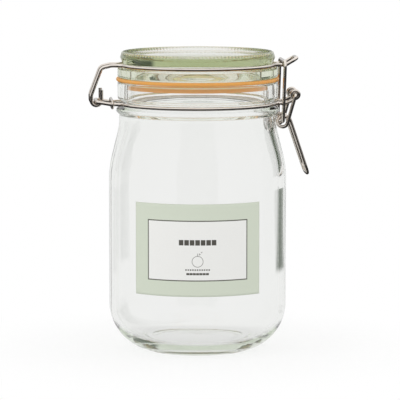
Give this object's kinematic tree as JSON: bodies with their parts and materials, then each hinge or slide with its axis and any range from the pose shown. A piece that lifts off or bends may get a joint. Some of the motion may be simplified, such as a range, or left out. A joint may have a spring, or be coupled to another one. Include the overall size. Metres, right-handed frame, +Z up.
{
  "type": "preserving jar",
  "caption": "Clear glass preserving jar with a hinged glass lid, a rubber seal and an over-centre wire latch, with a plain paper label.",
  "frame": {"origin": "centre of the underside of the foot, on the jar's own axis", "axes": "+Z up along the jar's axis, +X towards the latch, -X towards the hinge; both pivots run along Y"},
  "size_m": [0.1314, 0.1062, 0.1786],
  "materials": {
    "glass": "clear glass with a faint green tint",
    "seal": "orange rubber",
    "wire": "bright drawn steel wire",
    "paper": "matt paper, sage green border round a white panel"
  },
  "bodies": {
    "jar": {"jar_body": "glass", "label": "paper", "neck_wire": "wire", "collar": "wire"},
    "cover": {"lid": "glass", "gasket": "seal", "lid_wire": "wire"},
    "lever": {"lever_wire": "wire"},
    "link": {"link_wire": "wire"}
  },
  "joints": [
    {"name": "lid_hinge", "type": "hinge", "parent": "jar", "child": "cover", "pos_m": [-0.0608, 0, 0.1494], "axis": [0, -1, 0], "range_deg": [0, 100]},
    {"name": "lever_pivot", "type": "hinge", "parent": "jar", "child": "lever", "pos_m": [0.0575, 0, 0.153], "axis": [0, -1, 0], "range_deg": [0, 115], "deforming": ["link_wire"]},
    {"name": "link_pivot", "type": "hinge", "parent": "lever", "child": "link", "pos_m": [0.0498, 0, 0.1376], "axis": [0, -1, 0], "range_deg": [-157, 0]}
  ],
  "couplings": [
    {"joint": "link_pivot", "follows": "lever_pivot", "ratio": -1.36}
  ]
}
